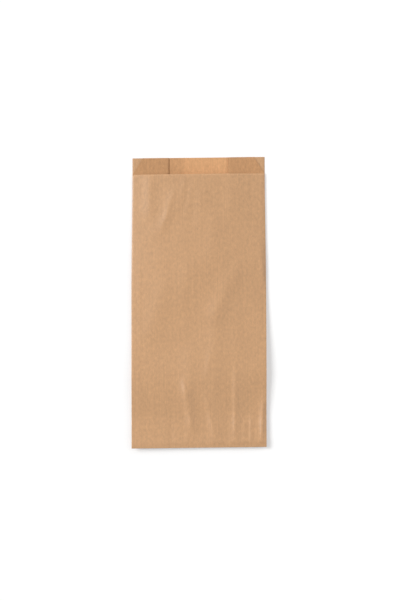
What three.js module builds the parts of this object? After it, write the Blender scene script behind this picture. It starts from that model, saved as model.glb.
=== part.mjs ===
// A flat brown paper bag with a pleat in each side, new and empty. It lies on its back panel,
// with the front panel up, slightly sprung open, and with its closed end curled up a little.
//
// The bag is one sheet of paper. The sheet is wrapped into a tube, and its two long edges are
// pasted over each other down the back panel. Both sides are pleated inwards. The closed end is
// folded under and pasted to the back panel. At the mouth the front panel is cut shorter than
// the back panel, and the cut runs out on a slant across the upper ply of each pleat.
//
// Millimetres. X runs across the bag, Y from the closed end to the mouth, and Z up from the
// surface that the bag lies on. The origin is on that surface, under the middle of the bag.

import * as THREE from "three";

const { lerp, clamp, smoothstep } = THREE.MathUtils;

// The sheet
const PAPER = 0.08; // thickness
const PRESSED_GAP = 0.04; // air left between plies that are pressed together

// The flat bag
const WIDTH = 130;
const LENGTH = 280; // closed end to the mouth edge of the back panel
const PLEAT = 35; // depth of each side pleat
const FLAP = 18; // length of the closed end that is folded under
const SEAM_LAP = 12; // overlap of the sheet's long edges
const SEAM_SHIFT = -18; // middle of that overlap, across the bag
const LIP = 16; // the front panel stops this far short of the back panel
const LIP_SLANT = 10; // the cut runs this far into each pleat
const SKEW = 1.2; // both ends run this far off square across the bag

// How far the folds have sprung open in the body of the bag
const CREASE_GAP = 0.45; // between the two plies that a crease joins
const LEFT_GAPE = 1.4; // opening of the left pleat at the bag's side
const RIGHT_GAPE = 4.2; // opening of the right pleat at the bag's side
const MOUTH_GAPE = 0.5; // opening of both pleats at the mouth
const GAPE_END = 70; // the pleats close again from this far from the closed end
const GAPE_START = 180; // to this far
const PLEAT_RISE = 1.6; // inner crease of a pleat, above the back panel
const MOUTH_PLEAT_RISE = 0.5; // the same at the mouth
const CROWN = 1.8; // middle of the front panel, above its sides
const MOUTH_CROWN = 4; // the same at the mouth
const PRESSED_LENGTH = 5; // the closed end stays pressed flat for this far
const OPENING_LENGTH = 60; // from the flap's edge to where the bag is fully sprung
const MOUTH_SINK = 0.04; // share of the opening that is lost again at the mouth
const MOUTH_NARROWING = 1.2; // each side draws in by this much at the mouth

// Runs over which the sheet steps up or down
const STEP_RUN = 2.5; // beside an edge or a crease that lies beneath it
const FLAP_RUN = 14; // behind the edge of the flap

// Soft waves in the front panel. The ends of a crest are given as shares: across, -1 at the
// left side to 1 at the right side, and along, 0 at the closed end to 1 at the mouth.
const WAVES = [
  { from: [0, 0.39], to: [0.06, 0.13], reach: 15, rise: 0.5 },
  { from: [0.58, 0.64], to: [0.12, 0.43], reach: 10, rise: 0.35 },
  { from: [-0.46, 0.9], to: [-0.68, 0.71], reach: 9, rise: 0.3 },
  { from: [0.72, 0.76], to: [0.89, 0.57], reach: 8, rise: 0.3 },
];

// The closed end curls up off the surface
const CURL_LENGTH = 75;
const CURL_LEFT = 3.4; // height of the closed end at the left side
const CURL_RIGHT = 3.8; // and at the right side

// Fineness of the grid
const CREASE_STEPS = 2;
const TURN_STEPS = 3;
const FRONT_STEP = 7; // width of the facets in the front panel, at most about this

const [BACK, PLEAT_LOWER, PLEAT_UPPER, FRONT] = [0, 1, 2, 3]; // plies, from the surface up

const pitch = PAPER + PRESSED_GAP;
const closedEnd = -LENGTH / 2;
const seamLeft = SEAM_SHIFT - SEAM_LAP / 2;
const seamRight = SEAM_SHIFT + SEAM_LAP / 2;
const pleatInner = WIDTH / 2 - PLEAT;
const slantShare = LIP_SLANT / PLEAT;

// Evenly spaced values from one end to the other, both included.
function spread(from, to, steps) {
  return Array.from({ length: steps + 1 }, (_, i) => lerp(from, to, i / steps));
}

// How open the bag is at a distance from its closed end: 0 pressed flat, 1 fully sprung.
function openness(distance) {
  const opened = smoothstep(distance, PRESSED_LENGTH, FLAP + OPENING_LENGTH);
  return opened * (1 - MOUTH_SINK * towardsMouth(distance));
}

function halfWidth(distance) {
  return WIDTH / 2 - MOUTH_NARROWING * towardsMouth(distance);
}

// How far the pleats have closed again on the way from the closed end to the mouth.
function closing(distance) {
  return smoothstep(distance, GAPE_END, GAPE_START);
}

// Share of the length from the middle of the bag to its mouth, eased at both ends.
function towardsMouth(distance) {
  return smoothstep(distance, LENGTH / 2, LENGTH);
}

// Place across the bag: -1 at the left side to 1 at the right side.
function acrossShare(x) {
  return clamp(x / (WIDTH / 2), -1, 1);
}

// Height by which the curl lifts the bag.
function curlHeight(x, distance) {
  const height = lerp(CURL_LEFT, CURL_RIGHT, (acrossShare(x) + 1) / 2);
  return height * Math.max(0, 1 - distance / CURL_LENGTH) ** 2;
}

// Radius of a crease, measured to the middle of the sheet.
function creaseRadius(distance) {
  return lerp(pitch, CREASE_GAP, openness(distance)) / 2;
}

// 1 over the lap of the back seam, 0 beside it.
function seamRaise(x) {
  const left = smoothstep(x, seamLeft - STEP_RUN, seamLeft);
  return left * (1 - smoothstep(x, seamRight, seamRight + STEP_RUN));
}

// Number of plies under the front panel: 3 over a pleat, 1 between the pleats, 2 over the seam.
function pliesUnderFront(x) {
  const overPleat = smoothstep(Math.abs(x), pleatInner - STEP_RUN, pleatInner);
  return 1 + 2 * overPleat + seamRaise(x) * (1 - overPleat);
}

// Place of a ply in the pressed stack at x, counted from the back panel.
function stackLevel(ply, x, lapped) {
  if (ply === FRONT) return pliesUnderFront(x);
  if (ply === BACK && lapped) return 1 - smoothstep(x, seamRight, seamRight + STEP_RUN);
  return ply;
}

// Height that the waves add to the front panel.
function waveHeight(x, y) {
  const place = new THREE.Vector3(x, y, 0);
  const crestEnd = ([across, along]) =>
    new THREE.Vector3((across * WIDTH) / 2, closedEnd + along * LENGTH, 0);
  return WAVES.reduce((total, { from, to, reach, rise }) => {
    const crest = new THREE.Line3(crestEnd(from), crestEnd(to));
    const nearest = crest.closestPointToPoint(place, true, new THREE.Vector3());
    const away = nearest.distanceTo(place) / reach;
    return total + rise * Math.exp(-away * away);
  }, 0);
}

// Height of a whole ply above the surface, in the body of the bag. `inward` runs from 0 at the
// side of the bag to 1 at the inner crease of the pleat, and stays 1 between the pleats.
function plyHeight(ply, x, y, distance, inward, lapped) {
  const open = openness(distance);
  const overFlap = 1 - smoothstep(distance, FLAP, FLAP + FLAP_RUN);
  const flap = (pliesUnderFront(x) + 1) * pitch * overFlap;
  const pressed = (stackLevel(ply, x, lapped) + 0.5) * pitch - PRESSED_GAP / 2;
  if (ply === BACK) return flap + pressed;

  const across = acrossShare(x);
  const sideGape = lerp(LEFT_GAPE, RIGHT_GAPE, (across + 1) / 2);
  const gape = lerp(sideGape, MOUTH_GAPE, closing(distance));
  const rise = lerp(PLEAT_RISE, MOUTH_PLEAT_RISE, closing(distance));
  const crown = lerp(CROWN, MOUTH_CROWN, closing(distance)) * (1 - across * across);
  const lifts = {
    [PLEAT_LOWER]: CREASE_GAP + rise * inward,
    [PLEAT_UPPER]: 2 * CREASE_GAP + lerp(gape, rise, inward),
    [FRONT]: 3 * CREASE_GAP + gape + crown + waveHeight(x, y) * inward,
  };
  return flap + lerp(pressed, pitch / 2 - PRESSED_GAP / 2 + lifts[ply], open);
}

// Height of a column. On a crease it lies between the two plies that the crease joins.
function bodyHeight(column, x, y, distance) {
  const low = Math.floor(column.ply);
  const high = Math.ceil(column.ply);
  const heights = [low, high].map((ply) =>
    plyHeight(ply, x, y, distance, column.inward, column.lapped),
  );
  return lerp(heights[0], heights[1], column.ply - low);
}

function levelOf(column, x) {
  const low = Math.floor(column.ply);
  const levels = [low, Math.ceil(column.ply)].map((ply) => stackLevel(ply, x, column.lapped));
  return lerp(levels[0], levels[1], column.ply - low);
}

// Where a column stands across the bag, at a distance from the closed end.
function acrossBag(column, distance) {
  const radius = creaseRadius(distance);
  const outer = halfWidth(distance) - radius;
  const inner = halfWidth(distance) - PLEAT + radius;
  if (column.side === 0) return (column.middle / pleatInner) * inner;
  return column.side * (lerp(outer, inner, column.inward) + column.bulge * radius);
}

// Where a column ends at the mouth.
function mouthEnd(column) {
  if (column.ply > PLEAT_UPPER) return LENGTH - LIP;
  if (column.ply < PLEAT_UPPER) return LENGTH;
  return LENGTH - LIP * clamp(1 - column.inward / slantShare, 0, 1);
}

// Columns of the sheet over a pleat, from the side of the bag inwards.
const sideShares = [0, slantShare / 2, ...spread(slantShare, 1, 3)];

// Columns of the sheet between the pleats, from left to right: the foot and the top of each
// step, where the sheet bends. The front panel has more between them, for its waves.
const stepPlaces = [
  -pleatInner + STEP_RUN,
  seamLeft - STEP_RUN,
  seamLeft,
  seamRight,
  seamRight + STEP_RUN,
  pleatInner - STEP_RUN,
];
const frontPlaces = stepPlaces.slice(1).flatMap((place, i) => {
  const previous = stepPlaces[i];
  const steps = Math.ceil((place - previous) / FRONT_STEP);
  return spread(previous, place, steps).slice(i ? 1 : 0);
});

function sidePanel(ply, side, lapped = false) {
  return sideShares.map((inward) => ({ ply, side, inward, bulge: 0, lapped }));
}

function middlePanel(ply, places, lapped = false) {
  return places.map((middle) => ({ ply, side: 0, middle, inward: 1, bulge: 0, lapped }));
}

// The columns on a crease that joins ply `low` to the ply above it, from below upwards.
function crease(low, side, inward) {
  return spread(0, Math.PI, CREASE_STEPS)
    .slice(1, -1)
    .map((turn) => ({
      ply: low + (1 - Math.cos(turn)) / 2,
      side,
      inward,
      bulge: Math.sin(turn) * (inward ? -1 : 1),
      lapped: false,
    }));
}

// Pleat and creases of one side, from the back panel's edge up to the front panel's edge.
function pleat(side) {
  return [
    ...crease(BACK, side, 0),
    ...sidePanel(PLEAT_LOWER, side),
    ...crease(PLEAT_LOWER, side, 1),
    ...sidePanel(PLEAT_UPPER, side).reverse(),
    ...crease(PLEAT_UPPER, side, 0),
  ];
}

// All columns in the order in which the sheet passes through them, from one long edge of the
// sheet to the other. The left long edge lies under the right one in the seam.
function sheetColumns() {
  return [
    ...middlePanel(BACK, stepPlaces.filter((place) => place <= seamRight)).reverse(),
    ...sidePanel(BACK, -1).reverse(),
    ...pleat(-1),
    ...sidePanel(FRONT, -1),
    ...middlePanel(FRONT, frontPlaces),
    ...sidePanel(FRONT, 1).reverse(),
    ...pleat(1).reverse(),
    ...sidePanel(BACK, 1, true),
    ...middlePanel(BACK, stepPlaces.filter((place) => place >= seamLeft), true).reverse(),
  ];
}

// Rows of the sheet, from the edge of the flap round the closed end and up to the mouth. The
// flap has its rows under those of the plies that it is pressed against.
function sheetRows() {
  const shared = LENGTH - LIP - STEP_RUN;
  const flapEnd = FLAP + FLAP_RUN;
  const pressed = spread(PRESSED_LENGTH, FLAP, 2);
  const body = [
    ...pressed,
    ...spread(FLAP, flapEnd, 2).slice(1),
    ...spread(flapEnd, FLAP + OPENING_LENGTH, 4).slice(1),
    ...spread(FLAP + OPENING_LENGTH, shared, 9).slice(1),
  ];
  return [
    ...pressed.reverse().map((distance) => ({ part: "flap", distance })),
    ...spread(0, Math.PI, TURN_STEPS).map((turn) => ({ part: "turn", turn })),
    ...body.map((distance) => ({ part: "body", distance, toMouth: 0 })),
    ...spread(0, 1, 2).slice(1).map((toMouth) => ({ part: "body", distance: shared, toMouth })),
  ];
}

// Middle of the sheet where a row crosses a column, before the closed end is curled up.
function uncurledPoint(row, column) {
  const distance = lerp(row.distance ?? 0, mouthEnd(column), row.toMouth ?? 0);
  const x = acrossBag(column, distance);
  const under = pliesUnderFront(x);
  const radius = (levelOf(column, x) + 0.5) * pitch;
  const axisY = closedEnd + (under + 0.5) * pitch + PAPER / 2;
  const axisZ = (under + 1) * pitch - PRESSED_GAP / 2;
  if (row.part === "flap") return [x, axisY + distance, axisZ - radius];
  if (row.part === "turn") {
    return [x, axisY - radius * Math.sin(row.turn), axisZ - radius * Math.cos(row.turn)];
  }
  const y = lerp(axisY + distance, closedEnd + distance, distance / LENGTH);
  return [x, y, bodyHeight(column, x, y, distance)];
}

function sheetPoint(row, column) {
  const [x, y, z] = uncurledPoint(row, column);
  return [x, y + (SKEW * x) / WIDTH, z + curlHeight(x, y - closedEnd)];
}

// Triangles of a grid of points, and the unit normal at each point. Plies that lie on each
// other are cut along the same diagonals, so that their facets match.
function gridFaces(points, rows, columns) {
  const index = [];
  for (let r = 0; r < rows - 1; r++) {
    for (let c = 0; c < columns - 1; c++) {
      const a = r * columns + c;
      const [b, d, e] = [a + 1, a + columns + 1, a + columns];
      const rightwards = points[b][0] > points[a][0];
      index.push(...(rightwards ? [a, b, d, a, d, e] : [a, b, e, b, d, e]));
    }
  }
  const grid = new THREE.BufferGeometry();
  grid.setAttribute("position", new THREE.Float32BufferAttribute(points.flat(), 3));
  grid.setIndex(index);
  grid.computeVertexNormals();
  return { index, normals: grid.getAttribute("normal") };
}

// The solid sheet: the grid of points moved out by half the thickness on both faces, and closed
// round its rim.
function sheetGeometry() {
  const columns = sheetColumns();
  const rows = sheetRows();
  const [nRows, nColumns] = [rows.length, columns.length];
  const points = rows.flatMap((row) => columns.map((column) => sheetPoint(row, column)));
  const { index, normals } = gridFaces(points, nRows, nColumns);

  const face = (sign) =>
    points.flatMap(([x, y, z], i) => [
      x + (sign * PAPER * normals.getX(i)) / 2,
      y + (sign * PAPER * normals.getY(i)) / 2,
      z + (sign * PAPER * normals.getZ(i)) / 2,
    ]);
  const other = points.length;
  const faces = [...index];
  for (let i = 0; i < index.length; i += 3) {
    faces.push(other + index[i], other + index[i + 2], other + index[i + 1]);
  }

  const rim = [];
  for (let c = 0; c < nColumns - 1; c++) rim.push(c);
  for (let r = 0; r < nRows - 1; r++) rim.push(r * nColumns + nColumns - 1);
  for (let c = nColumns - 1; c > 0; c--) rim.push((nRows - 1) * nColumns + c);
  for (let r = nRows - 1; r > 0; r--) rim.push(r * nColumns);
  rim.forEach((a, i) => {
    const b = rim[(i + 1) % rim.length];
    faces.push(a, other + a, b, b, other + a, other + b);
  });

  const geometry = new THREE.BufferGeometry();
  const positions = [...face(1), ...face(-1)];
  geometry.setAttribute("position", new THREE.Float32BufferAttribute(positions, 3));
  geometry.setIndex(faces);
  geometry.computeVertexNormals();
  return geometry;
}

const paper = new THREE.MeshStandardMaterial({
  name: "brown_paper",
  color: 0xcba27c,
  roughness: 0.8,
  metalness: 0,
});

const bag = new THREE.Mesh(sheetGeometry(), paper);
bag.name = "paper_bag";

const group = new THREE.Group();
group.add(bag);

export default group;
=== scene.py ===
"""A flat brown paper bag with a pleat in each side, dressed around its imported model.

The bag is one sheet of paper, so it is built as one fine grid that follows the sheet through
all its folds: across the rows from one long edge of the sheet to the other, and along them from
the edge of the flap, round the closed end and up to the mouth. Units are metres.
"""

import math

import bpy
import numpy as np
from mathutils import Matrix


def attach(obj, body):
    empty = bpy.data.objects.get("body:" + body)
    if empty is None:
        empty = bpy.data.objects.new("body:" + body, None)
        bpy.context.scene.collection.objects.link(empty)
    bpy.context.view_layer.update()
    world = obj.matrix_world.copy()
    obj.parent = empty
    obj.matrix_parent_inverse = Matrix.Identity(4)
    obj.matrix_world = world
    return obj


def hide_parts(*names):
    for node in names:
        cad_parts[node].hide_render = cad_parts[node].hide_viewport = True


MM = 0.001

# The sheet and the flat bag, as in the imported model
PAPER = 0.08 * MM
PRESSED_GAP = 0.04 * MM
WIDTH = 130 * MM
LENGTH = 280 * MM
PLEAT = 35 * MM
FLAP = 18 * MM
SEAM_LAP = 12 * MM
SEAM_SHIFT = -18 * MM
LIP = 16 * MM
LIP_SLANT = 10 * MM
SKEW = 1.2 * MM

# How far the folds have sprung open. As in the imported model, but with the sides of the lower
# half and the closed end a little higher and the pleats at the mouth lower, for the photo's
# shadows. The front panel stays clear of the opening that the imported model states.
CREASE_GAP = 0.45 * MM
LEFT_GAPE = 2.2 * MM
RIGHT_GAPE = 4.2 * MM
MOUTH_GAPE = 0.5 * MM
GAPE_END = 70 * MM  # the pleats close again from here
GAPE_START = 180 * MM  # to here, both counted from the closed end
PLEAT_RISE = 1.6 * MM
MOUTH_PLEAT_RISE = 0.1 * MM
CROWN = 0.7 * MM
MOUTH_CROWN = 4.8 * MM
PRESSED_LENGTH = 5 * MM
OPENING_LENGTH = 60 * MM
MOUTH_SINK = 0.2
MOUTH_NARROWING = 1.2 * MM
STEP_RUN = 2.5 * MM
FLAP_RUN = 14 * MM
CURL_LENGTH = 95 * MM
CURL_LEFT = 5.2 * MM
CURL_RIGHT = 4.6 * MM

# Fineness of the grid
COLUMN_STEP = 1.5 * MM  # across the front panel
PLEAT_COLUMNS = (4, 6)  # across a hidden ply: beside the slant, and on to the inner crease
BACK_COLUMN_STEP = 6 * MM
ROW_STEP = 1.2 * MM
CREASE_STEPS = 4
TURN_STEPS = 8
MOUTH_STEPS = 10
SHARP_ANGLE = 60  # degrees; folds sharper than this are shaded as edges

# Small forms that only show close up
CUT_DIP = 0.42 * MM  # the front panel's cut edge turns down by this much
CUT_DIP_RUN = 1.6 * MM
BEAD = 0.12 * MM  # the inner crease of the right pleat stands up as a bead
BEAD_RUN = 1.3 * MM
NOSE = (0.5 * MM, 1.1 * MM)  # the very end bows down by this much, at the left and the right
NOSE_RUN = 6 * MM
BUCKLE_START = 1.0 * MM  # buckles fade out between these distances from the closed end
BUCKLE_FULL = 6.0 * MM
SIDE_FADE = 0.08  # and over this share of a pleat's depth at the bag's sides

# Waves and buckles of the front panel, in millimetres from the middle of the bag: both ends of
# the crest, the reach of the left and the right flank, the rise, and how crisp the crest is
# (2 is round, 1 is a sharp fold).
BUCKLES = [
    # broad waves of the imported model
    ((0, -31), (4, -103), (15, 15), 0.50, 2.0),
    ((38, 39), (8, -20), (10, 10), 0.35, 2.0),
    ((-30, 112), (-44, 59), (9, 9), 0.30, 2.0),
    ((47, 73), (58, 20), (8, 8), 0.30, 2.0),
    # the panel sags beside the right pleat, and the crest of that sag is nearly a fold
    ((16, 2), (15, -64), (10, 13), 1.25, 1.3),
    ((13, -46), (18, -140), (10, 13), 1.15, 1.5),
    ((13, 90), (13, 30), (9, 12), 0.85, 1.5),
    # the diagonal that crosses it
    ((40, 40), (13, -20), (8, 8), 0.95, 1.6),
    # buckles that run up from the folded end
    ((-15.6, -73), (-5.4, -129), (3.4, 6.5), 2.30, 1.25),
    ((5, -86), (16.8, -136), (2.8, 5.0), 1.25, 1.25),
    ((34.9, -60), (34.4, -140), (2.2, 5.0), 1.35, 1.2),
    ((-10.6, -122), (-11, -139), (1.7, 2.0), 0.32, 1.5),
    # cockles in the lower right corner
    ((44.2, -112), (43.6, -139), (1.5, 1.7), 0.75, 1.4),
    ((50.6, -107), (49.8, -139), (1.6, 1.8), 0.85, 1.4),
    ((55.9, -116), (55.3, -137), (1.1, 1.2), 0.38, 1.4),
    ((62.0, -92), (60.4, -138), (2.8, 2.2), 1.60, 1.35),
    ((39.2, -104), (38.8, -133), (1.1, 1.3), 0.26, 1.5),
    # the right side stands up a little above the middle
    ((57, 66), (67, 8), (6.5, 5.0), 1.10, 1.5),
    ((59, 44), (62.5, 20), (1.8, 1.6), 0.34, 1.3),
    ((60.0, 125), (60.4, 60), (1.3, 1.2), 0.20, 1.6),
    # long soft streaks of the upper part
    ((-22, 112), (-37, 66), (4.5, 6.5), 0.75, 1.5),
    ((-28, 90), (-32, 78), (1.8, 2.4), 0.22, 1.5),
    ((-47, 128), (-47, 78), (7.0, 6.0), 0.70, 1.7),
    ((-12, 124), (-21, 84), (2.4, 3.0), 0.26, 1.7),
    ((-3, 124), (-13, 80), (2.4, 3.0), 0.22, 1.7),
    ((3, 120), (0, 66), (5.0, 7.0), 0.40, 2.0),
    ((33, 125), (30, 78), (6.0, 7.0), 0.50, 1.9),
    # unevenness of the middle
    ((-11, -40), (-7, -88), (7, 9), 0.50, 1.9),
    ((11, -46), (7, -76), (2.8, 2.6), 0.36, 1.6),
    ((-28, 26), (-52, -42), (11, 12), 0.70, 1.9),
    ((-6, 44), (-20, -12), (9, 10), 0.55, 1.9),
    ((34, 0), (38, -60), (7, 9), 0.55, 1.9),
    ((-57.6, 60), (-57.2, -139), (0.9, 1.1), 0.12, 1.5),
]

# Rises of the pleats' outer edges: side, middle along the bag, reach along the bag, height
SIDE_RISES = [
    (1, 34 * MM, 20 * MM, 0.6 * MM),
    (1, -62 * MM, 34 * MM, 1.4 * MM),
    (-1, -95 * MM, 45 * MM, 2.2 * MM),
    (-1, 30 * MM, 40 * MM, 0.9 * MM),
]

# Faint unevenness all over: size of a swell and its height
SWELLS = [(13 * MM, 0.07 * MM), (4.5 * MM, 0.014 * MM)]
SWELL_SEED = 11

# Paper colours, as sRGB shares
GLAZED_SIDE = (0.765, 0.588, 0.417)
MATT_SIDE = (0.762, 0.577, 0.411)
# Painted light: where one ply lies alone over the table, the paper is painted lighter. This stands
# in for the table's light shining through the sheet.
SHOW_THROUGH_PAINTED_LIGHT_GAIN = 1.27  # painted light: one ply over a pale table is painted lighter by this factor
SHOW_THROUGH_PAINTED_LIGHT_HALF_WIDTH = 28 * MM
SHOW_THROUGH_PAINTED_LIGHT_BLUR = 1.5 * MM  # the painted light fades out sideways in the paper
PAINTED_LIGHT_LAP_SHARE = 0.25  # what is left of that painted light where the back seam doubles the ply, so the lap is painted darker
PAINTED_LIGHT_LAP_BLUR = (7 * MM, 1 * MM)  # the painted light returns from this far before the lap's edge to past it

# How the two sides of the paper shine, and how deep their fibres are
GLAZED_FINISH = {"roughness": 0.38, "specular": 0.75, "fibre_depth": 0.02 * MM}
MATT_FINISH = {"roughness": 0.78, "specular": 0.25, "fibre_depth": 0.05 * MM}
ROUGHNESS_SWING = (0.05, 0.06)  # glossier and duller patches, below and above the roughness

# Patterns on the flat sheet: cells a metre across and along it, detail, roughness and, where
# the pattern turns the colour lighter and darker, by how much
CLOUDS = ((70, 45), 3, 0.5, 0.10)
MOTTLE = ((430, 240), 4, 0.7, 0.60)
STREAKS = ((1100, 9), 2, 0.5, 0.22)
FIBRES = ((2600, 420), 3, 0.6, 0.36)
PATCHES = ((500, 300), 2)
PITTING = ((700, 500), 2)
FIBRE_SHARE = 0.5  # of the fibres in the fine relief, beside the pitting

# Flecks: cells a metre, size in a cell, share of the cells that have one, and strength
DARK_FLECKS = (240, 0.14, 0.02, 0.22)
LIGHT_FLECKS = (330, 0.15, 0.05, 0.16)
FLECK_STRETCH = 0.45  # they are drawn out along the sheet

# Table
TABLE_REACH = 20.0
TABLE_DROP = 0.05 * MM  # just clear of the bag's back panel
TABLE_ROUGHNESS = 0.9
TABLE_WHITE = 0.80
TABLE_SHADE = 0.12  # the table is this much darker to the camera, before its glow
TABLE_GLOW = 0.345

# Light
SKY_STRENGTH = 0.485
SKY_TILT = (0.80, 0.60)  # how much brighter the sky is to the right and to the top
KEY_STRENGTH = 2.48
KEY_FROM = (-1.0, 0.42, 0.92)
KEY_ANGLE = 32  # degrees across the soft source
SEEN_RAYS = ("Is Camera Ray", "Is Glossy Ray", "Is Transmission Ray")  # these see white

# Camera, and what it sees: straight down, the bag near the middle of a tall frame
PIXEL = 0.967 * MM  # width of a pixel of the photograph, on the table
FRAME_HEIGHT = 601 * PIXEL
BAG_MIDDLE_PIXEL = (198.8, 302.5)
FRAME_MIDDLE_PIXEL = (200.5, 300.5)
ROLL = -0.12  # degrees
LENS_MM = 85
SENSOR_MM = 36

BACK, PLEAT_LOWER, PLEAT_UPPER, FRONT = range(4)
PITCH = PAPER + PRESSED_GAP
CLOSED_END = -LENGTH / 2
SEAM_LEFT = SEAM_SHIFT - SEAM_LAP / 2
SEAM_RIGHT = SEAM_SHIFT + SEAM_LAP / 2
PLEAT_INNER = WIDTH / 2 - PLEAT
SLANT_SHARE = LIP_SLANT / PLEAT


def mix(low, high, share):
    return low + (high - low) * share


def smooth(value, low, high):
    share = np.clip((value - low) / (high - low), 0, 1)
    return share * share * (3 - 2 * share)


def towards_mouth(distance):
    return smooth(distance, LENGTH / 2, LENGTH)


def closing(distance):
    """How far the pleats have closed again on the way from the closed end to the mouth."""
    return smooth(distance, GAPE_END, GAPE_START)


def openness(distance):
    """How open the bag is at a distance from its closed end: 0 pressed flat, 1 sprung."""
    opened = smooth(distance, PRESSED_LENGTH, FLAP + OPENING_LENGTH)
    return opened * (1 - MOUTH_SINK * towards_mouth(distance))


def half_width(distance):
    return WIDTH / 2 - MOUTH_NARROWING * towards_mouth(distance)


def crease_radius(distance):
    return mix(PITCH, CREASE_GAP, openness(distance)) / 2


def across_share(x):
    return np.clip(x / (WIDTH / 2), -1, 1)


def curl_height(x, distance):
    share = (across_share(x) + 1) / 2
    height = mix(CURL_LEFT, CURL_RIGHT, share) * np.maximum(0, 1 - distance / CURL_LENGTH) ** 2
    return height - mix(*NOSE, share) * (1 - smooth(distance, -NOSE_RUN / 4, NOSE_RUN))


def seam_raise(x):
    """1 over the lap of the back seam, 0 beside it."""
    left = smooth(x, SEAM_LEFT - STEP_RUN, SEAM_LEFT)
    return left * (1 - smooth(x, SEAM_RIGHT, SEAM_RIGHT + STEP_RUN))


def plies_under_front(x):
    """3 over a pleat, 1 between the pleats, 2 over the seam."""
    over_pleat = smooth(np.abs(x), PLEAT_INNER - STEP_RUN, PLEAT_INNER)
    return 1 + 2 * over_pleat + seam_raise(x) * (1 - over_pleat)


def stack_level(ply, x, lapped):
    """Place of a ply in the pressed stack at x, counted from the back panel."""
    lap = np.where(lapped, 1 - smooth(x, SEAM_RIGHT, SEAM_RIGHT + STEP_RUN), 0)
    return np.select([ply == FRONT, ply == BACK], [plies_under_front(x), lap], ply)


def buckle_height(x, y):
    """Height that the waves and buckles add to the front panel."""
    total = np.zeros(np.broadcast(x, y).shape)
    for start, end, reach, rise, crispness in BUCKLES:
        (x0, y0), (x1, y1) = np.multiply(start, MM), np.multiply(end, MM)
        length = math.hypot(x1 - x0, y1 - y0)
        ux, uy = (x1 - x0) / length, (y1 - y0) / length
        along = ((x - x0) * ux + (y - y0) * uy) / length
        # crests run towards the closed end, so this is positive on the crest's right
        aside = (y - y0) * ux - (x - x0) * uy
        away = np.abs(aside) / np.where(aside > 0, reach[1] * MM, reach[0] * MM)
        taper = smooth(along, -0.1, 0.3) * (1 - smooth(along, 0.7, 1.1))
        total += rise * MM * np.exp(-(away**crispness)) * taper
    return total


def swell_height(x, y):
    """Faint unevenness of the front panel, never below zero."""
    rng = np.random.default_rng(SWELL_SEED)
    total = np.zeros(np.broadcast(x, y).shape)
    for size, height in SWELLS:
        cells = (int(LENGTH / size) + 4, int(WIDTH / size) + 4)
        knots = rng.random(cells)
        row, column = (y + LENGTH / 2) / size + 1, (x + WIDTH / 2) / size + 1
        r, c = np.floor(row).astype(int), np.floor(column).astype(int)
        fr, fc = smooth(row - r, 0, 1), smooth(column - c, 0, 1)
        low = mix(knots[r, c], knots[r, c + 1], fc)
        high = mix(knots[r + 1, c], knots[r + 1, c + 1], fc)
        total += height * mix(low, high, fr)
    return total


def gape_at(x, y, distance):
    """Opening of a pleat at the bag's side."""
    share = (across_share(x) + 1) / 2
    gape = mix(mix(LEFT_GAPE, RIGHT_GAPE, share), MOUTH_GAPE, closing(distance))
    for side, middle, reach, height in SIDE_RISES:
        toward = share if side > 0 else 1 - share
        gape = gape + height * toward * np.exp(-(((y - middle) / reach) ** 2))
    return gape


def front_relief(x, y, distance, inward):
    """Fine relief of the front panel above its plain form."""
    fade = smooth(distance, BUCKLE_START, BUCKLE_FULL) * smooth(inward, 0, SIDE_FADE)
    dip = CUT_DIP * smooth(distance, LENGTH - LIP - CUT_DIP_RUN, LENGTH - LIP)
    return (buckle_height(x, y) + swell_height(x, y)) * fade - dip


def ply_height(ply, x, y, distance, inward, lapped):
    """Height of a whole ply above the table, in the body of the bag."""
    opened = openness(distance)
    over_flap = 1 - smooth(distance, FLAP, FLAP + FLAP_RUN)
    flap = (plies_under_front(x) + 1) * PITCH * over_flap
    pressed = (stack_level(ply, x, lapped) + 0.5) * PITCH - PRESSED_GAP / 2

    across = across_share(x)
    gape = gape_at(x, y, distance)
    crown = mix(CROWN, MOUTH_CROWN, closing(distance)) * (1 - across**2)
    rise = mix(PLEAT_RISE, MOUTH_PLEAT_RISE, closing(distance))
    from_crease = (1 - inward) * PLEAT
    bead = BEAD * np.exp(-((from_crease / BEAD_RUN) ** 2)) * (across > 0)
    lift = np.select(
        [ply == PLEAT_LOWER, ply == PLEAT_UPPER, ply == FRONT],
        [
            CREASE_GAP + rise * inward,
            2 * CREASE_GAP + mix(gape, rise, inward) + bead,
            3 * CREASE_GAP + gape + crown,
        ],
        0,
    )
    sprung = np.where(ply == BACK, pressed, PITCH / 2 - PRESSED_GAP / 2 + lift)
    relief = np.where(ply == FRONT, front_relief(x, y, distance, inward), 0)
    return flap + mix(pressed, sprung, opened) + relief


def between_plies(column, value):
    """Value at a column; on a crease it lies between those of the plies that it joins."""
    low, high = np.floor(column["ply"]), np.ceil(column["ply"])
    return mix(value(low), value(high), column["ply"] - low)


def across_bag(column, distance):
    """Where a column stands across the bag, at a distance from the closed end."""
    radius = crease_radius(distance)
    outer = half_width(distance) - radius
    inner = half_width(distance) - PLEAT + radius
    beside = column["side"] * (mix(outer, inner, column["inward"]) + column["bulge"] * radius)
    return np.where(column["side"] == 0, column["middle"] / PLEAT_INNER * inner, beside)


def mouth_end(column):
    """Where a column ends at the mouth."""
    slant = LIP * np.clip(1 - column["inward"] / SLANT_SHARE, 0, 1)
    cut = np.select([column["ply"] > PLEAT_UPPER, column["ply"] < PLEAT_UPPER], [LIP, 0], slant)
    return LENGTH - cut


def divided(places, step):
    """The places with evenly spaced ones between them, no further apart than the step."""
    result = [places[0]]
    for low, high in zip(places, places[1:]):
        steps = max(1, math.ceil((high - low) / step))
        result += list(np.linspace(low, high, steps + 1)[1:])
    return result


STEP_PLACES = [
    -PLEAT_INNER + STEP_RUN,
    SEAM_LEFT - STEP_RUN,
    SEAM_LEFT,
    SEAM_RIGHT,
    SEAM_RIGHT + STEP_RUN,
    PLEAT_INNER - STEP_RUN,
]


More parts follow.
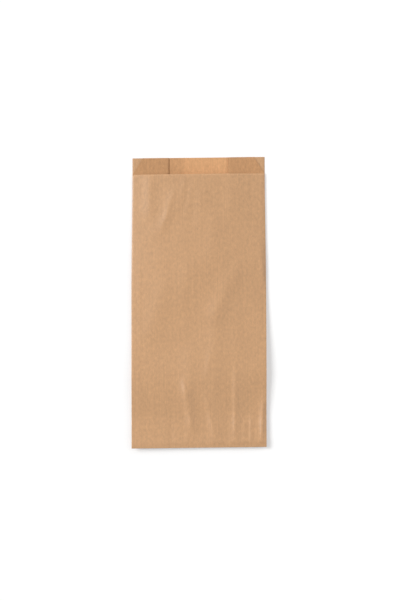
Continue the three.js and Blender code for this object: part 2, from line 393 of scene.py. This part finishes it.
def side_panel(ply, side, lapped=False):
    if ply == FRONT:
        shares = divided([0, 1], COLUMN_STEP / PLEAT)
    else:
        shares = [
            *np.linspace(0, SLANT_SHARE, PLEAT_COLUMNS[0] + 1),
            *np.linspace(SLANT_SHARE, 1, PLEAT_COLUMNS[1] + 1)[1:],
        ]
    return [
        {"ply": ply, "side": side, "middle": 0, "inward": share, "bulge": 0, "lapped": lapped}
        for share in shares
    ]


def middle_panel(ply, places, lapped=False):
    return [
        {"ply": ply, "side": 0, "middle": place, "inward": 1, "bulge": 0, "lapped": lapped}
        for place in places
    ]


def crease(low, side, inward):
    """The columns on a crease that joins ply `low` to the ply above it."""
    return [
        {
            "ply": low + (1 - math.cos(turn)) / 2,
            "side": side,
            "middle": 0,
            "inward": inward,
            "bulge": math.sin(turn) * (-1 if inward else 1),
            "lapped": False,
        }
        for turn in np.linspace(0, math.pi, CREASE_STEPS + 1)[1:-1]
    ]


def pleat(side):
    """Pleat and creases of one side, from the back panel up to the front panel."""
    return [
        *crease(BACK, side, 0),
        *side_panel(PLEAT_LOWER, side),
        *crease(PLEAT_LOWER, side, 1),
        *side_panel(PLEAT_UPPER, side)[::-1],
        *crease(PLEAT_UPPER, side, 0),
    ]


def sheet_columns():
    """All columns in the order in which the sheet passes through them, as arrays."""
    back_places = divided(STEP_PLACES, BACK_COLUMN_STEP)
    left_half = [place for place in back_places if place <= SEAM_RIGHT]
    right_half = [place for place in back_places if place >= SEAM_LEFT]
    columns = [
        *middle_panel(BACK, left_half)[::-1],
        *side_panel(BACK, -1)[::-1],
        *pleat(-1),
        *side_panel(FRONT, -1),
        *middle_panel(FRONT, divided(STEP_PLACES, COLUMN_STEP)),
        *side_panel(FRONT, 1)[::-1],
        *pleat(1)[::-1],
        *side_panel(BACK, 1, lapped=True),
        *middle_panel(BACK, right_half, lapped=True)[::-1],
    ]
    return {key: np.array([column[key] for column in columns])[None, :] for key in columns[0]}


def sheet_rows():
    """Part, distance from the closed end, angle of turn and share of the way to the mouth."""
    shared = LENGTH - LIP - STEP_RUN
    flap = divided([ROW_STEP, FLAP], ROW_STEP)[::-1]
    body = divided([ROW_STEP, FLAP, FLAP + FLAP_RUN, shared], ROW_STEP)
    rows = [("flap", distance, 0, 0) for distance in flap]
    rows += [("turn", 0, turn, 0) for turn in np.linspace(0, math.pi, TURN_STEPS + 1)]
    rows += [("body", distance, 0, 0) for distance in body]
    rows += [("body", shared, 0, share) for share in np.linspace(0, 1, MOUTH_STEPS + 1)[1:]]
    parts, *values = zip(*rows)
    return np.array(parts)[:, None], *[np.array(value)[:, None] for value in values]


def sheet_points(column):
    """Middle of the sheet at each row and column."""
    part, distance, turn, to_mouth = sheet_rows()
    distance = mix(distance, mouth_end(column), to_mouth)
    x = across_bag(column, distance)
    under = plies_under_front(x)
    level = between_plies(column, lambda ply: stack_level(ply, x, column["lapped"]))
    radius = (level + 0.5) * PITCH
    axis_y = CLOSED_END + (under + 0.5) * PITCH + PAPER / 2
    axis_z = (under + 1) * PITCH - PRESSED_GAP / 2

    body_y = mix(axis_y + distance, CLOSED_END + distance, distance / LENGTH)
    body_z = between_plies(
        column,
        lambda ply: ply_height(ply, x, body_y, distance, column["inward"], column["lapped"]),
    )
    turning = part == "turn"
    y = np.where(turning, axis_y - radius * np.sin(turn), axis_y + distance)
    z = np.where(turning, axis_z - radius * np.cos(turn), axis_z - radius)
    y = np.where(part == "body", body_y, y)
    z = np.where(part == "body", body_z, z)
    z = z + curl_height(x, y - CLOSED_END)
    return np.stack([x, y + SKEW * x / WIDTH, z], axis=-1)


def grid_normals(points):
    across = np.gradient(points, axis=1)
    along = np.gradient(points, axis=0)
    normals = np.cross(across, along)
    return normals / np.linalg.norm(normals, axis=-1, keepdims=True)


def unrolled(points):
    """Place of each point on the sheet when it is laid out flat."""
    across = np.linalg.norm(np.diff(points, axis=1), axis=-1)
    along = np.linalg.norm(np.diff(points, axis=0), axis=-1)
    u = np.pad(np.cumsum(across.mean(axis=0)), (1, 0))
    v = np.pad(np.cumsum(along, axis=0), ((1, 0), (0, 0)))
    return np.stack([np.broadcast_to(u, v.shape), v], axis=-1)


def sheet_mesh():
    """The solid sheet. Faces of material 0 are the bag's outside, of material 1 its inside."""
    column = sheet_columns()
    points = sheet_points(column)
    offset = grid_normals(points) * PAPER / 2
    rows, columns = points.shape[:2]
    vertices = np.concatenate([(points + offset).reshape(-1, 3), (points - offset).reshape(-1, 3)])

    index = np.arange(rows * columns).reshape(rows, columns)
    corners = [index[:-1, :-1], index[:-1, 1:], index[1:, 1:], index[1:, :-1]]
    outside = np.stack(corners, axis=-1).reshape(-1, 4)
    inside = outside[:, ::-1] + rows * columns
    rim = np.concatenate([index[0, :-1], index[:-1, -1], index[-1, :0:-1], index[:0:-1, 0]])
    following = np.roll(rim, -1)
    edge = np.stack([following, rim, rim + rows * columns, following + rows * columns], axis=-1)
    faces = np.concatenate([outside, inside, edge])

    mesh = bpy.data.meshes.new("paper_bag_sheet")
    mesh.from_pydata(vertices.tolist(), [], faces.tolist())
    side = np.concatenate([np.zeros(len(outside)), np.ones(len(inside)), np.zeros(len(edge))])
    mesh.polygons.foreach_set("material_index", side.astype(np.int32))
    mesh.polygons.foreach_set("use_smooth", np.ones(len(faces), bool))
    mesh.set_sharp_from_angle(angle=math.radians(SHARP_ANGLE))

    flat = np.tile(unrolled(points).reshape(-1, 2), (2, 1))
    corner_vertex = np.empty(len(mesh.loops), np.int32)
    mesh.loops.foreach_get("vertex_index", corner_vertex)
    layer = mesh.uv_layers.new(name="flat_sheet")
    layer.data.foreach_set("uv", flat[corner_vertex].astype(np.float32).ravel())

    # Painted light: a mask of where one ply lies alone over the table, which the material paints
    # lighter. There is less of it over the back seam's lap.
    x = points[..., 0]
    edge = SHOW_THROUGH_PAINTED_LIGHT_HALF_WIDTH
    painted_light_mask = (column["ply"] == BACK) * (1 - smooth(np.abs(x), edge, edge + SHOW_THROUGH_PAINTED_LIGHT_BLUR))
    beside_lap = smooth(x, SEAM_RIGHT - PAINTED_LIGHT_LAP_BLUR[0], SEAM_RIGHT + PAINTED_LIGHT_LAP_BLUR[1])
    painted_light_mask = painted_light_mask * mix(PAINTED_LIGHT_LAP_SHARE, 1, beside_lap)
    painted_light_layer = mesh.attributes.new("painted_show_through_light", "FLOAT", "POINT")
    painted_light_layer.data.foreach_set("value", np.tile(painted_light_mask.ravel(), 2).astype(np.float32))
    mesh.update()
    return mesh


def linear(colour):
    """Linear values of an sRGB colour."""
    return [((c + 0.055) / 1.055) ** 2.4 for c in colour]


class Nodes:
    """Short forms for building a material's nodes."""

    def __init__(self, name):
        self.material = bpy.data.materials.new(name)
        self.material.use_nodes = True
        self.tree = self.material.node_tree
        self.shader = self.tree.nodes["Principled BSDF"]

    def add(self, kind, inputs=(), **settings):
        node = self.tree.nodes.new(kind)
        for key, value in settings.items():
            setattr(node, key, value)
        for socket, value in dict(inputs).items():
            if isinstance(value, bpy.types.NodeSocket):
                self.tree.links.new(value, node.inputs[socket])
            else:
                node.inputs[socket].default_value = value
        return node

    def maths(self, operation, first, second):
        inputs = {0: first, 1: second}
        return self.add("ShaderNodeMath", inputs, operation=operation).outputs[0]

    def sheet_place(self, scale):
        """The place on the flat sheet, stretched by a scale across and along it."""
        place = self.add("ShaderNodeUVMap", uv_map="flat_sheet").outputs["UV"]
        inputs = {0: place, 1: (*scale, 1)}
        stretched = self.add("ShaderNodeVectorMath", inputs, operation="MULTIPLY")
        return stretched.outputs["Vector"]

    def noise(self, scale, detail, roughness=0.5):
        """Noise on the flat sheet, from 0 to 1. The scale is in cells a metre."""
        inputs = {
            "Vector": self.sheet_place(scale),
            "Scale": 1.0,
            "Detail": detail,
            "Roughness": roughness,
        }
        return self.add("ShaderNodeTexNoise", inputs).outputs["Fac"]

    def swing(self, value, amount):
        """A noise turned into a factor around 1."""
        centred = self.maths("SUBTRACT", value, 0.5)
        return self.maths("ADD", self.maths("MULTIPLY", centred, amount), 1.0)

    def flecks(self, density, size, share, strength):
        """The strength in small flecks strewn over the sheet, 0 elsewhere."""
        cells = self.add(
            "ShaderNodeTexVoronoi",
            {"Vector": self.sheet_place((density, density * FLECK_STRETCH)), "Scale": 1.0},
        )
        chosen = self.add("ShaderNodeSeparateColor", {"Color": cells.outputs["Color"]})
        picked = self.maths("LESS_THAN", chosen.outputs["Red"], share)
        near = self.add(
            "ShaderNodeMapRange",
            {0: cells.outputs["Distance"], 1: size, 2: size * 0.4, 3: 0.0, 4: 1.0},
        ).outputs[0]
        return self.maths("MULTIPLY", self.maths("MULTIPLY", picked, near), strength)


def paper_material(name, colour, roughness, specular, fibre_depth):
    """Brown wrapping paper: clouded, faintly streaked along the sheet, with fibres and flecks, and
    painted lighter where one ply lies alone over the table, which is painted light.
    """
    n = Nodes(name)
    clouds = n.swing(n.noise(*CLOUDS[:3]), CLOUDS[3])
    mottle = n.swing(n.noise(*MOTTLE[:3]), MOTTLE[3])
    fibres = n.noise(*FIBRES[:3])
    streaks = n.swing(n.noise(*STREAKS[:3]), STREAKS[3])
    tone = n.maths("MULTIPLY", n.maths("MULTIPLY", clouds, mottle), streaks)
    tone = n.maths("MULTIPLY", tone, n.swing(fibres, FIBRES[3]))

    # Painted light: the colour is made lighter where one ply lies alone over the table.
    painted_light_mask = n.add("ShaderNodeAttribute", attribute_name="painted_show_through_light").outputs["Fac"]
    gain = n.maths("ADD", n.maths("MULTIPLY", painted_light_mask, SHOW_THROUGH_PAINTED_LIGHT_GAIN - 1), 1.0)
    tone = n.maths("MULTIPLY", tone, gain)
    tone = n.maths("SUBTRACT", tone, n.flecks(*DARK_FLECKS))
    tone = n.maths("ADD", tone, n.flecks(*LIGHT_FLECKS))

    painted = n.add(
        "ShaderNodeVectorMath", {0: linear(colour), "Scale": tone}, operation="SCALE"
    ).outputs["Vector"]
    n.tree.links.new(painted, n.shader.inputs["Base Color"])

    low, high = roughness - ROUGHNESS_SWING[0], roughness + ROUGHNESS_SWING[1]
    gloss = n.add(
        "ShaderNodeMapRange", {0: n.noise(*PATCHES), 1: 0.3, 2: 0.7, 3: low, 4: high}
    ).outputs[0]
    n.tree.links.new(gloss, n.shader.inputs["Roughness"])
    n.shader.inputs["Specular IOR Level"].default_value = specular

    relief = n.maths("ADD", n.maths("MULTIPLY", fibres, FIBRE_SHARE), n.noise(*PITTING))
    bump = n.add(
        "ShaderNodeBump", {"Strength": 1.0, "Distance": fibre_depth, "Height": relief}
    )
    n.tree.links.new(bump.outputs["Normal"], n.shader.inputs["Normal"])
    return n.material


def paper_bag():
    bag = bpy.data.objects.new("paper_bag_sheet", sheet_mesh())
    bpy.context.scene.collection.objects.link(bag)
    bag.data.materials.append(paper_material("glazed_side", GLAZED_SIDE, **GLAZED_FINISH))
    bag.data.materials.append(paper_material("matt_side", MATT_SIDE, **MATT_FINISH))
    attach(bag, "root")
    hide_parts("paper_bag")
    return bag


def table_top():
    """A pale table. To the camera it shows as white, with the bag's soft shadow kept."""
    mesh = bpy.data.meshes.new("table_top")
    signs = [(-1, -1), (1, -1), (1, 1), (-1, 1)]
    corners = [(TABLE_REACH * x, TABLE_REACH * y, 0) for x, y in signs]
    mesh.from_pydata(corners, [], [(0, 1, 2, 3)])
    table = bpy.data.objects.new("table_top", mesh)
    table.location.z = -TABLE_DROP
    bpy.context.scene.collection.objects.link(table)

    n = Nodes("pale_table")
    n.shader.inputs["Roughness"].default_value = TABLE_ROUGHNESS
    path = n.add("ShaderNodeLightPath")
    seen = path.outputs[SEEN_RAYS[0]]
    for ray in SEEN_RAYS[1:]:
        seen = n.maths("MAXIMUM", seen, path.outputs[ray])
    white = n.maths("SUBTRACT", TABLE_WHITE, n.maths("MULTIPLY", seen, TABLE_SHADE))
    n.tree.links.new(white, n.shader.inputs["Base Color"])
    n.shader.inputs["Emission Color"].default_value = (1, 1, 1, 1)
    n.tree.links.new(n.maths("MULTIPLY", seen, TABLE_GLOW), n.shader.inputs["Emission Strength"])
    mesh.materials.append(n.material)


def studio_light():
    """A bright tent with one large soft source at the upper left."""
    world = bpy.data.worlds.new("studio")
    bpy.context.scene.world = world
    world.use_nodes = True
    tree = world.node_tree
    place = tree.nodes.new("ShaderNodeTexCoord")
    tilt = tree.nodes.new("ShaderNodeVectorMath")
    tilt.operation = "DOT_PRODUCT"
    tree.links.new(place.outputs["Generated"], tilt.inputs[0])
    tilt.inputs[1].default_value = (*SKY_TILT, 0)
    level = tree.nodes.new("ShaderNodeMath")
    level.operation = "MULTIPLY_ADD"
    tree.links.new(tilt.outputs["Value"], level.inputs[0])
    level.inputs[1].default_value = SKY_STRENGTH
    level.inputs[2].default_value = SKY_STRENGTH
    path = tree.nodes.new("ShaderNodeLightPath")
    strength = level.outputs["Value"]
    for ray in SEEN_RAYS:
        shown = tree.nodes.new("ShaderNodeMix")
        tree.links.new(path.outputs[ray], shown.inputs["Factor"])
        tree.links.new(strength, shown.inputs["A"])
        shown.inputs["B"].default_value = 1.0
        strength = shown.outputs["Result"]
    background = tree.nodes["Background"]
    background.inputs["Color"].default_value = (1, 1, 1, 1)
    tree.links.new(strength, background.inputs["Strength"])

    data = bpy.data.lights.new("key_light", "SUN")
    data.energy = KEY_STRENGTH
    data.angle = math.radians(KEY_ANGLE)
    lamp = bpy.data.objects.new("key_light", data)
    lamp.location = KEY_FROM
    lamp.rotation_euler = (-lamp.location).to_track_quat("-Z", "Y").to_euler()
    bpy.context.scene.collection.objects.link(lamp)


def camera():
    data = bpy.data.cameras.new("camera")
    data.lens = LENS_MM
    data.sensor_width = SENSOR_MM
    data.sensor_fit = "AUTO"
    view = bpy.data.objects.new("camera", data)
    view.location = (
        (FRAME_MIDDLE_PIXEL[0] - BAG_MIDDLE_PIXEL[0]) * PIXEL,
        (BAG_MIDDLE_PIXEL[1] - FRAME_MIDDLE_PIXEL[1]) * PIXEL,
        FRAME_HEIGHT * LENS_MM / SENSOR_MM,
    )
    view.rotation_euler.z = math.radians(ROLL)
    bpy.context.scene.collection.objects.link(view)
    bpy.context.scene.camera = view


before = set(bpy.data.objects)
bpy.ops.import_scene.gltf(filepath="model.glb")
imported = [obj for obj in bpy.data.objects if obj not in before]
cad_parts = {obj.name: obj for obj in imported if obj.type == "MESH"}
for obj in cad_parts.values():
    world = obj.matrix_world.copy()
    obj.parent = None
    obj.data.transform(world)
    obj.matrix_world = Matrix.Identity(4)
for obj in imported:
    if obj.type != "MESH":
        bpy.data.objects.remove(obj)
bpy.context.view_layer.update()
paper_bag()
table_top()
studio_light()
camera()
bpy.context.scene.view_settings.view_transform = "Standard"
